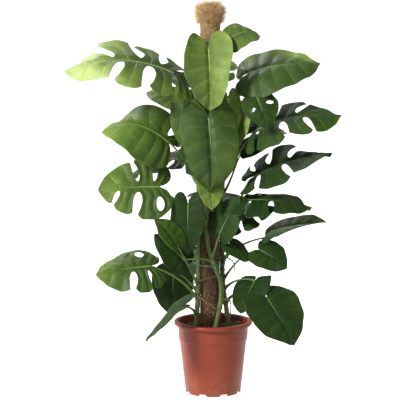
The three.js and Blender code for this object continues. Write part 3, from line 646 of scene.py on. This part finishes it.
# ---------- leaves ----------
# Each leaf is one growth: a stalk that sheathes the stem at its foot, swells where it meets the blade and runs on under
# it as the midrib, and a leathery blade, puckered between its side veins and split between them almost to the midrib.
# Old leaves are dark above and dull grey-green below; young ones are thin, yellow-green and let light through.
HALF_OUTLINE = [(-0.02, 0.015), (-0.13, 0.045), (-0.235, 0.14), (-0.245, 0.26), (-0.15, 0.39), (0.03, 0.475)]
HALF_OUTLINE += [(0.25, 0.495), (0.47, 0.45), (0.67, 0.35), (0.83, 0.22), (0.94, 0.09), (1, 0)]
HALF_OUTLINE = np.array(HALF_OUTLINE)
LOBE_SHARE = 0.36  # the share of the outline that bounds the lobe behind the stalk
BLADE_THICK, RIB_THICK = 1.1, 2.4
BIG_LEAF = 150  # a longer blade than this gets more points
ARCH_POINTS, ROD_SIDES = 12, 12
greens = [(0.0, (0.009, 0.021, 0.006)), (0.28, (0.022, 0.054, 0.007)), (0.52, (0.068, 0.125, 0.014))]
greens += [(0.76, (0.2, 0.3, 0.042)), (1.0, (0.52, 0.64, 0.22))]
backs = [(0.0, (0.07, 0.12, 0.06)), (0.5, (0.14, 0.24, 0.1)), (0.78, (0.27, 0.41, 0.15)), (1.0, (0.5, 0.64, 0.3))]


def leaf_finish(name, ramp, relief, vein_colour, gloss, shine, glow):
    """A leaf's skin: a ramp of greens by age, and by painted light where a half or tip is lit or shaded, with veins
    on the blade's own map of which vein and how far out.
    """
    made, place = finish_of(name)
    # the number each point carries: the leaf's tone by age, with painted light on a lit or shaded half
    tone = place.node("ShaderNodeAttribute", {"attribute_name": "growth"}, {}, 2)
    veins = place.node("ShaderNodeUVMap", {"uv_map": "veins"}, {})
    which = veins.node("ShaderNodeSeparateXYZ", {}, {0: veins}, 0)
    out = veins.node("ShaderNodeSeparateXYZ", {}, {0: veins}, 1)
    from_vein = which.maths("ABSOLUTE", which.maths("FRACT", which, 0.0) - 0.5, 0.0)
    side_vein = step(from_vein, 0.05, 0.012) * step(out, 1.0, 0.75)
    shoulder = step(from_vein, 0.3, 0.02)
    fine = grain(place, 75, 5, 0.65)
    broad = grain(place, 13, 3)
    mesh = place.node("ShaderNodeTexVoronoi", {"feature": "DISTANCE_TO_EDGE"}, {"Vector": place, "Scale": 150.0})
    net = step(mesh, 0.09, 0.0)
    shade = tone + 0.34 * (broad - 0.5) + 0.2 * (fine - 0.5)
    shade = shade + 0.03 * shoulder + 0.025 * net + 0.07 * step(out, 0.955, 1.0)
    colour = place.node("ShaderNodeValToRGB", {"stops": ramp}, {0: shade})
    colour = mixed(side_vein * 0.25, colour, vein_colour)
    height = side_vein * relief + net * relief * 0.22 + fine * 0.3
    skin = surface(colour, gloss + 0.16 * fine + 0.06 * broad, height, 0.0011, Specular_IOR_Level=shine)
    light = place.node("ShaderNodeBsdfTranslucent", {}, {"Color": colour})
    show(place.node("ShaderNodeMixShader", {}, {0: glow, 1: skin, 2: light}))
    return made


leaf_skins = {}
for age, above, below in (
    ("old", ((0.08, 0.16, 0.03), 0.42, 0.15, 0.1), ((0.16, 0.25, 0.1), 0.55, 0.3, 0.1)),
    ("full", ((0.15, 0.26, 0.06), 0.34, 0.3, 0.15), ((0.24, 0.36, 0.14), 0.5, 0.35, 0.16)),
    ("young", ((0.36, 0.5, 0.16), 0.38, 0.4, 0.24), ((0.45, 0.58, 0.24), 0.5, 0.35, 0.26)),
):
    upper = leaf_finish(age + "_leaf", greens, -1.0, *above)
    leaf_skins[age] = upper, leaf_finish(age + "_leaf_back", backs, 1.0, *below)
stalk_skin, place = finish_of("leaf_stalk")
tone = place.node("ShaderNodeAttribute", {"attribute_name": "growth"}, {}, 2)
lines = grain(place.node("ShaderNodeMapping", {}, {0: place, 3: (1.0, 1.0, 0.25)}), 300, 4)
dots = step(grain(place, 520, 2), 0.62, 0.75)
ramp = [(0.0, (0.04, 0.085, 0.016)), (0.4, (0.085, 0.165, 0.03)), (0.75, (0.21, 0.32, 0.07)), (1.0, (0.4, 0.5, 0.17))]
colour = place.node("ShaderNodeValToRGB", {"stops": ramp}, {0: tone + 0.2 * lines - 0.1})
colour = mixed(dots * 0.3, colour, (0.42, 0.5, 0.24))
show(surface(colour, 0.34 + 0.2 * lines, lines, 0.0005))

# stalk: stem, height above the soil, arch. blade: where it starts from there. aim: heading, pitch, roll. size: length,
# width. bend: droop, hook, twist. cup: how far the left and the right half are folded up.
leaves = {
    "top_left": ("young", ("left", 592, 0.5), (-78, -4, 176), (188, 26, 0), (335, 300), (50, 0, 0), (-22, 20)),
    "left_upper": ("full", ("left", 432, 0.4), (-95, -32, 135), (195, 42, 38), (225, 225), (70, 30, 14), (-18, 14)),
    "left_behind": ("young", ("left", 505, 0.6), (-59, 103, 165), (166, 28, 28), (112, 104), (30, 0, 0), (8, 18)),
    "droop_mid": ("full", ("left", 642, 0.6), (-30, -26, 57), (240, -78, 0), (175, 115), (20, 0, 0), (-5, 10)),
    "top_young": ("young", ("front", 732, 0.2), (0, -25, 110), (280, -68, 0), (188, 160), (25, 20, 12), (46, 24)),
    "top_curl": ("full", ("right", 782, 0.2), (22, -69, 88), (350, 40, -45), (112, 115), (95, 0, 0), (0, 0)),
    "right_upper": ("full", ("right", 642, 0.4), (82, -33, 125), (348, 20, -15), (214, 216), (25, 0, 0), (10, -15)),
    "holed": ("old", ("right", 672, 0.3), (103, -106, 23), (290, -40, -20), (110, 105), (25, 0, 0), (5, 5)),
    "band": ("young", ("front", 652, 0.4), (57, -11, 40), (277, -75, 0), (136, 84), (25, 0, 0), (-5, -5)),
    "right_big": ("old", ("right", 432, 0.4), (113, -68, 172), (345, 26, -20), (250, 250), (35, 0, 0), (10, -5)),
    "centre": ("full", ("front", 572, 0.5), (-3, -46, 67), (286, -70, 0), (230, 180), (12, 45, 6), (24, 14)),
    "round_dark": ("old", ("front", 382, 0.2), (-61, -47, 125), (341, 45, -70), (90, 105), (10, 0, 0), (0, 0)),
    "left_split": ("full", ("left", 292, 0.3), (-120, -70, 142), (193, 2, 62), (180, 200), (20, 0, 0), (0, 0)),
    "left_fold": ("old", ("left", 122, 0.1), (-66, -112, 150), (185, 55, 55), (96, 105), (20, 0, 0), (40, 0)),
    "dark_hang": ("old", ("front", 312, 0.6), (-56, -49, 68), (262, -82, 0), (150, 105), (15, 0, 0), (10, 10)),
    "dark_triangle": ("old", ("front", 192, 0.2), (-91, -10, 15), (195, 48, 55), (120, 120), (20, 0, 0), (0, 0)),
    "left_low": ("full", ("left", 82, 0.3), (-141, -104, 120), (200, 0, 45), (165, 180), (20, 0, 0), (0, 0)),
    "dark_heart": ("old", ("left", 102, 0.6), (-74, 9, 58), (262, -75, 10), (130, 128), (20, 0, 0), (5, 5)),
    "slender": ("full", ("left", 32, 0.3), (-42, -82, 43), (222, -24, -50), (175, 95), (10, 0, 0), (15, 15)),
    "heart": ("old", ("right", 62, 0.5), (122, -142, 42), (312, -42, -12), (165, 190), (15, 0, 0), (8, 8)),
    "behind_heart": ("old", ("right", 102, 0.5), (93, -64, 42), (235, -40, -10), (120, 140), (15, 0, 0), (5, 5)),
    "right_droop": ("old", ("right", 132, 0.5), (111, -99, 110), (325, -18, -35), (100, 110), (30, 0, 0), (5, 5)),
    "far_right": ("full", ("right", 192, 0.3), (162, -72, 90), (345, 29, -10), (160, 120), (25, 0, 0), (35, 35)),
    "small_right": ("old", ("right", 166, 0.3), (22, -85, 93), (330, -29, -20), (78, 75), (20, 0, 0), (5, 5)),
    "under_high": ("old", ("right", 292, 0.2), (102, -54, 170), (347, 28, -30), (240, 240), (25, 0, 0), (0, 18)),
    "under_low": ("old", ("right", 312, 0.2), (80, -120, 85), (338, 5, -18), (195, 190), (20, 0, 0), (0, 0)),
    "fingers": ("old", ("right", 222, 0.2), (38, -74, 102), (350, 30, -25), (130, 130), (20, 0, 0), (0, 0)),
    "diagonal": ("old", ("front", 212, 0.1), (27, -40, 86), (350, 66, -60), (120, 110), (10, 0, 0), (10, 10)),
    "behind_right": ("old", ("right", 392, 0.2), (67, 2, 145), (15, 30, -25), (100, 100), (20, 0, 0), (0, 0)),
    "young_mid": ("young", ("front", 402, 0.5), (5, -40, 58), (290, -70, 0), (98, 88), (10, 0, 0), (15, 15)),
    "narrow": ("young", ("right", 505, 0.8), (65, -27, 148), (228, -60, -5), (138, 92), (15, 0, 0), (14, 6)),
    "back_top": ("full", ("back", 652, 0.4), (-8, 100, 100), (108, 13, 12), (228, 222), (50, 0, 0), (8, 8)),
    "back_right": ("old", ("back", 492, 0.4), (96, 81, 120), (50, 5, -15), (240, 230), (45, 0, 0), (5, 5)),
    "back_left": ("old", ("back", 392, 0.4), (-93, 86, 100), (140, 0, 15), (230, 220), (45, 0, 0), (5, 5)),
    "back_middle": ("old", ("back", 262, 0.4), (23, 91, 120), (75, -15, 0), (210, 210), (35, 0, 0), (5, 5)),
    "back_low": ("old", ("back", 112, 0.4), (-36, 86, 100), (110, -30, 0), (170, 170), (25, 0, 0), (5, 5)),
}
# How far the left and the right half curl up on the way to their margins, on the leaves that do.
curl_of = {
    "top_left": (0, 12), "left_upper": (0, 10), "right_upper": (20, -24), "centre": (-20, -20),
    "left_split": (-10, 0), "left_low": (0, -30),
}
# Splits of the left and right halves: the share of the outline they follow, where they start and stop on the way
# from the midrib to the margin, and half their width. One that stops before the margin is a hole, and a plain
# number is a split of the usual kind.
USUAL_SPLIT = (0.34, 1, 0.035)
splits_of = {
    "top_left": (
        ((0.4, 0.38, 1, 0.035), (0.55, 0.34, 1, 0.045), 0.7),
        ((0.35, 0.34, 1, 0.03), (0.48, 0.3, 1, 0.035), (0.6, 0.3, 1, 0.035), (0.74, 0.3, 1, 0.03)),
    ),
    "left_upper": ((), ((0.42, 0.34, 1, 0.04),)),
    "holed": (((0.55, 0.35, 0.75, 0.03),), ((0.6, 0.35, 0.75, 0.03),)),
    "right_big": (
        ((0.4, 0.38, 1, 0.03), 0.55, (0.7, 0.34, 1, 0.03)),
        ((0.4, 0.38, 1, 0.03), 0.6, (0.75, 0.38, 1, 0.03)),
    ),
    "left_split": (
        ((0.42, 0.35, 0.8, 0.04), (0.62, 0.38, 1, 0.05), (0.8, 0.38, 1, 0.03)),
        (0.45, (0.62, 0.38, 1, 0.035)),
    ),
    "left_low": (((0.45, 0.38, 1, 0.03), (0.62, 0.38, 1, 0.05)), ((0.5, 0.4, 0.75, 0.04),)),
    "under_high": (((0.4, 0.38, 1, 0.03), 0.54, 0.7), ((0.45, 0.38, 1, 0.03), (0.65, 0.34, 1, 0.03))),
    "under_low": (((0.5, 0.38, 1, 0.03),), ((0.45, 0.38, 1, 0.03), (0.65, 0.34, 1, 0.03))),
    "fingers": (((0.6, 0.3, 1, 0.035),), ((0.5, 0.3, 1, 0.035), (0.7, 0.3, 1, 0.035))),
    "back_top": ((0.45, 0.65), (0.4, 0.6)),
    "back_right": ((0.4, 0.6), (0.45, 0.65)),
    "back_left": ((0.4, 0.6), (0.45, 0.65)),
    "back_middle": ((0.5,), (0.5,)),
}
# How pale a leaf is at its middle, and how much paler to the left, to the right and towards the tip. This is the leaf's
# own colour by age, with painted light on some leaves: a lit half or tip painted paler and a half in shade painted
# darker.
pale_by_age = {"young": (0.74, 0.04, 0.04, 0.08), "full": (0.44, 0.06, 0.04, 0.05), "old": (0.2, 0.03, 0.03, 0.03)}
# Leaves with their own values, some with painted light: a lit half or tip paler, a shaded half darker.
pale_and_lit_of = {
    "top_left": (0.42, 0.2, 0.2, 0.55), "left_upper": (0.48, 0.06, 0.04, 0.2), "left_behind": (0.72, 0.1, 0.05, 0.15),
    "droop_mid": (0.4, 0.08, 0.1, 0.05), "top_young": (0.66, 0.1, -0.1, 0.08), "top_curl": (0.5, 0.12, 0.1, 0.1),
    "right_upper": (0.4, 0.34, -0.04, 0.0), "band": (0.66, 0.05, 0.0, 0.1), "right_big": (0.2, 0.02, 0.1, 0.08),
    "centre": (0.34, 0.1, 0.04, 0.05), "left_split": (0.44, 0.0, 0.02, 0.2), "left_fold": (0.4, 0.1, 0.05, 0.05),
    "dark_hang": (0.13, 0.02, 0.02, 0.02), "dark_triangle": (0.13, 0.02, 0.02, 0.02),
    "left_low": (0.38, 0.0, 0.06, 0.2), "slender": (0.26, 0.1, 0.05, 0.05), "heart": (0.2, 0.05, 0.0, 0.0),
    "behind_heart": (0.12, 0.02, 0.02, 0.0), "far_right": (0.34, 0.1, 0.02, 0.1),
    "under_high": (0.16, 0.02, 0.02, 0.02), "under_low": (0.14, 0.02, 0.02, 0.02),
    "young_mid": (0.66, 0.05, 0.05, 0.05),
}


def eased(x, low, high):
    x = np.clip((x - low) / (high - low), 0, 1)
    return x * x * (3 - 2 * x)


def blade_placer(stalk, blade, aim, size, bend, cup, curl):
    """Bends the flat blade: a function from its length, width, half and lift to places in millimetres."""
    base = stem_point(*stalk[:2]) + blade
    heading, pitch, roll = np.radians(aim)
    droop, hook, twist = np.radians(bend)
    along = np.array([math.cos(pitch) * math.cos(heading), math.cos(pitch) * math.sin(heading), math.sin(pitch)])
    right = np.array([math.sin(heading), -math.cos(heading), 0])
    right = right * math.cos(roll) + np.cross(right, along) * math.sin(roll)
    up = np.cross(right, along)
    halves = (np.arange(24) + 0.5) / 24

    def place(s, t, side, lift):
        s, t, lift = np.broadcast_arrays(s, t, lift)
        part = s[..., None] * halves
        fall = droop * part + np.where(part > 0, hook * part**3, 0)
        point = base + along * (s * size[0] * np.cos(fall).mean(-1))[..., None]
        point = point - up * (s * size[0] * np.sin(fall).mean(-1))[..., None]
        fall = (droop * s + np.where(s > 0, hook * s**3, 0))[..., None]
        over = up * np.cos(fall) + along * np.sin(fall)
        turn = (twist * s)[..., None]
        out = (right * np.cos(turn) - over * np.sin(turn)) * side
        over = over * np.cos(turn) + right * np.sin(turn)
        half = 0 if side < 0 else 1
        fold = math.radians(cup[half])
        k = (math.radians(curl[half]) or 1e-3) / (0.49 * size[1])
        reach = k * t * size[1]
        tilt = np.where(t > 0, fold + reach, 0)
        outward = (np.sin(fold + reach) - math.sin(fold)) / k - np.sin(tilt) * lift
        upward = (math.cos(fold) - np.cos(fold + reach)) / k + np.cos(tilt) * lift
        return point + out * outward[..., None] + over * upward[..., None]

    return place


def outline_at(a):
    """The margin of a half, as its length and width, at a share of the way from the stalk to the tip."""
    p = np.vstack([2 * HALF_OUTLINE[0] - HALF_OUTLINE[1], HALF_OUTLINE, 2 * HALF_OUTLINE[-1] - HALF_OUTLINE[-2]])
    stretches = len(HALF_OUTLINE) - 1
    x = np.clip(a, 0, 1) * stretches
    i = np.minimum(x.astype(int), stretches - 1)
    return flowing(p[i + 1], p[i + 2], (p[i + 2] - p[i]) / 2, (p[i + 3] - p[i + 1]) / 2, (x - i)[..., None])


def split_gap(split, r):
    """Half the width of a split at a share of the way from the midrib to the margin."""
    _, start, stop, wide = split
    if stop == 1:
        start, wide = 0.5 * start, 0.72 * wide
    q = (r - start) / (stop - start)
    if stop < 1:
        return wide * np.sqrt(np.clip(1 - (2 * q - 1) ** 2, 0, 1))
    round_end = np.sqrt(np.clip(1 - (1 - np.clip(q, 0, 0.35) / 0.35) ** 2, 0, 1))
    return wide * np.where(q <= 0, 0, np.where(q < 0.35, round_end, 1 - 0.75 * (q - 0.35)))


def rows_outwards(splits, count):
    """The shares at which points cross a half from the midrib to the margin, closer at the ends of its splits."""
    rows = [np.linspace(0, 1, count)]
    for _, start, stop, _ in splits:
        if stop < 1:
            rows.append(start + (stop - start) * np.array([0, 0.03, 0.12, 0.3, 0.5, 0.7, 0.88, 0.97, 1]))
        else:
            rows.append(0.5 * start + (1 - 0.5 * start) * np.array([0, 0.01, 0.04, 0.09, 0.17, 0.26, 0.35]))
    if splits:
        rows.append(np.array([0.965, 0.985]))
    rows = np.unique(np.round(np.concatenate(rows), 4))
    keep = [r for i, r in enumerate(rows) if i == 0 or r - rows[i - 1] > 0.004]
    keep[-1] = 1.0
    return np.array(keep)


def fingers(side, splits, columns, size, wave, pale_and_lit, place, chance):
    """The parts of one half between its splits: their places, how pale they are, with painted light on a lit or
    shaded half, and which vein is where.
    """
    big = size[0] > BIG_LEAF
    rows = rows_outwards(splits, 23 if big else 17)
    pucker = min(4.2, 0.021 * size[1])
    cuts = [0, *[s[0] for s in splits], 1]
    phase, lump = chance.random(4) * 2 * math.pi, chance.random(4) * 2 * math.pi
    counted, sag = 0, chance.normal(0, 3.0)
    for f in range(len(cuts) - 1):
        open_before, open_after = f and splits[f - 1][2] >= 1, f < len(splits) and splits[f][2] >= 1
        if open_before:
            sag = chance.normal(0, min(4.5, 0.018 * size[1]))
        own = columns[(columns >= cuts[f] - 1e-9) & (columns <= cuts[f + 1] + 1e-9)]
        u = ((own - cuts[f]) / (cuts[f + 1] - cuts[f]))[:, None]
        low, high = cuts[f] + 0 * rows, cuts[f + 1] + 0 * rows
        if f:
            low = low + split_gap(splits[f - 1], rows)
        if f < len(splits):
            high = high - split_gap(splits[f], rows)
        a = low + (high - low) * u
        r = np.broadcast_to(rows, a.shape).copy()
        ends = np.zeros(len(own))
        if open_before:
            ends = np.maximum(ends, np.clip(1 - u[:, 0] * 3.2, 0, 1))
        if open_after:
            ends = np.maximum(ends, np.clip(1 - (1 - u[:, 0]) * 3.2, 0, 1))
        r = r * (1 - 0.12 * (ends**2.2)[:, None] * eased(r, 0.62, 1))
        # the way from the midrib out to the margin, bowed back like a side vein
        foot = np.clip((a - LOBE_SHARE) / (1 - LOBE_SHARE), 0, None) ** 1.25
        end = outline_at(a)
        uneven = 0.03 * np.sin(2 * math.pi * 2.6 * a + phase[2]) + 0.012 * np.sin(2 * math.pi * 7 * a + phase[3])
        end[..., 1] *= 1 + uneven
        bow = 0.2 * r * (1 - r) * np.hypot(end[..., 0] - foot, end[..., 1])
        s, t = foot + (end[..., 0] - foot) * r - bow, end[..., 1] * r
        count = max(1, round((cuts[f + 1] - cuts[f]) * (9 if big else 8)))
        q = counted + u * count + 0 * r
        counted += count
        # puckers between the veins, waves along the margin, and slow bends and sags of the whole
        between = np.where(np.abs(q - np.round(q)) < 1e-6, 1, np.abs(2 * (q % 1) - 1))
        lift = pucker * np.sin(between * math.pi / 2) * eased(r, 0, 0.2) * (1 - 0.5 * eased(r, 0.8, 1))
        lift = lift + wave * eased(r, 0.3, 1) * np.sin(2 * math.pi * (2.1 * a + 0.3 * r) + phase[0])
        lift = lift + 0.35 * wave * eased(r, 0.5, 1) * np.sin(2 * math.pi * 5.3 * a + phase[1])
        lift = lift + 0.02 * size[0] * eased(r, 0, 0.5) * np.sin(4.1 * s + lump[0]) * np.sin(5.0 * t + lump[1])
        if any(split[2] >= 1 for split in splits):
            lift = lift + sag * eased(r, 0.3, 1.15) * 1.6
        lift = lift - 0.07 * size[1] * eased(r, 0.15, 1.1) * (1 - 0.3 * eased(s, 0.5, 1))
        # painted light: a half or tip made paler where it is lit, or darker where it is in shade, on top of the leaf's
        # own pale by age
        tone = pale_and_lit[0] + (pale_and_lit[1] if side < 0 else pale_and_lit[2]) * eased(r, 0.1, 0.9) + pale_and_lit[3] * eased(s, 0.25, 0.95)
        yield place(s, t, side, lift * eased(t, 0, 0.09)), tone, np.stack([q, r], axis=2)


def blade_sheet(age, size, splits, pale_and_lit, place, chance):
    """Both halves of a blade as one thin sheet, with its veins mapped, thickened on both sides."""
    veins = sorted({split[0] for half in splits for split in half})
    steps = 64 if size[0] > BIG_LEAF else 40
    columns = [a for a in np.linspace(0, 1, steps + 1) if all(abs(a - v) > 0.012 for v in veins)]
    columns += [v + d for v in veins for d in (-0.009, -0.003, 0, 0.003, 0.009)]
    columns = np.array(sorted(set(columns)))
    wave = min(6.0, 0.022 * size[1]) * (0.7 + 0.6 * chance.random())
    points, faces, growth, chart = [], [], [], []
    for side, half in zip((-1, 1), splits):
        for spots, tone, vein in fingers(side, sorted(half), columns, size, wave, pale_and_lit, place, chance):
            grid = len(points) + np.arange(tone.size).reshape(tone.shape)
            quads = np.stack([grid[:-1, :-1], grid[1:, :-1], grid[1:, 1:], grid[:-1, 1:]], axis=2).reshape(-1, 4)
            faces.extend(map(tuple, quads[:, ::-1] if side > 0 else quads))
            points.extend(spots.reshape(-1, 3))
            growth.extend(tone.reshape(-1))
            chart.extend(vein.reshape(-1, 2))
    sheet = object_of("leaf_sheet", points, faces, *leaf_skins[age])
    chart = np.array(chart)[np.array(faces).reshape(-1)]
    sheet.data.uv_layers.new(name="veins").data.foreach_set("uv", chart.reshape(-1))
    marked(sheet, "growth", growth)
    in_hand(sheet, edit=True)
    bpy.ops.mesh.remove_doubles(threshold=6e-6)
    bpy.ops.object.mode_set(mode="OBJECT")
    thicken = sheet.modifiers.new("thickness", "SOLIDIFY")
    thicken.thickness, thicken.offset = BLADE_THICK / 1000, 0
    thicken.material_offset, thicken.material_offset_rim = 1, 1
    bpy.ops.object.modifier_apply(modifier="thickness")
    return sheet


def stalk_and_rib(name, age, stalk, size, place):
    """The stalk from the stem, in an arch, and the midrib under the blade, as one round bar."""
    foot, end = stem_point(*stalk[:2]), place(0, 0, 1, 0)
    span = np.linalg.norm(end - foot)
    leave = np.array([end[0] - foot[0], end[1] - foot[1], 0])
    leave = leave / np.linalg.norm(leave) * 0.6 + (0, 0, 0.8)
    arrive = (end - foot) / span - (0, 0, stalk[2])
    arrive /= np.linalg.norm(arrive)
    near, far = foot + leave * 0.35 * span, end - arrive * 0.35 * span
    w = np.linspace(0, 0.96, ARCH_POINTS)[:, None]
    arch = (1 - w) ** 3 * foot + 3 * (1 - w) ** 2 * w * near + 3 * (1 - w) * w**2 * far + w**3 * end
    thick = min(1, 0.62 + size[0] / 600)
    rib_s = np.array([0.02, 0.06, 0.12, 0.2, 0.32, 0.46, 0.6, 0.74, 0.87])
    rib = place(rib_s, 0, 1, -0.55 * thick * RIB_THICK * (1 - rib_s))
    path = winding([*arch, *rib], 6)
    run = np.concatenate([[0], np.cumsum(np.linalg.norm(np.diff(path, axis=0), axis=1))])
    blade_at = run[ARCH_POINTS * 6]
    share = run / blade_at
    radii = thick * (5.5 - 2.6 * np.minimum(1, share * 1.4))
    knee, sheath = (share - 0.95) * blade_at / 9, share * blade_at / 26
    radii = radii * (1 + 0.3 * np.exp(-(knee**2))) * (1 + 0.35 * np.exp(-(sheath**2)))
    beyond = np.clip((run - blade_at) / (run[-1] - blade_at), 0, 1)
    radii = np.where(run > blade_at, thick * (2.6 * (1 - beyond) ** 1.1 + 0.35), radii)
    rod = object_of(name + "_leaf", *tube(path, radii, ROD_SIDES), stalk_skin)
    tone = {"old": 0.42, "full": 0.6, "young": 0.85}[age] + 0.15 * (share > 1)
    tone = tone - 0.25 * np.clip(1 - share * 2.5, 0, 1)
    marked(rod, "growth", np.repeat(tone, ROD_SIDES))
    rod.data.uv_layers.new(name="veins")
    return rod


for number, (name, (age, stalk, blade, aim, size, bend, cup)) in enumerate(leaves.items()):
    place = blade_placer(stalk, blade, aim, size, bend, cup, curl_of.get(name, (0, 0)))
    splits = splits_of.get(name, ((), ()))
    splits = [[s if isinstance(s, tuple) else (s, *USUAL_SPLIT) for s in half] for half in splits]
    pale_and_lit = pale_and_lit_of.get(name, pale_by_age[age])
    sheet = blade_sheet(age, size, splits, pale_and_lit, place, np.random.default_rng(100 + number))
    leaf = stalk_and_rib(name, age, stalk, size, place)
    in_hand(sheet)
    leaf.select_set(True)
    bpy.context.view_layer.objects.active = leaf
    bpy.ops.object.join()
    leaf.data.shade_smooth()
    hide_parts("leaf_" + name)
    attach(leaf, "root")
    "leaf_" + age

boxes = {"cad": cad_box, "visual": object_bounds()}
{name: [list(map(float, corner)) for corner in box] for name, box in boxes.items()}
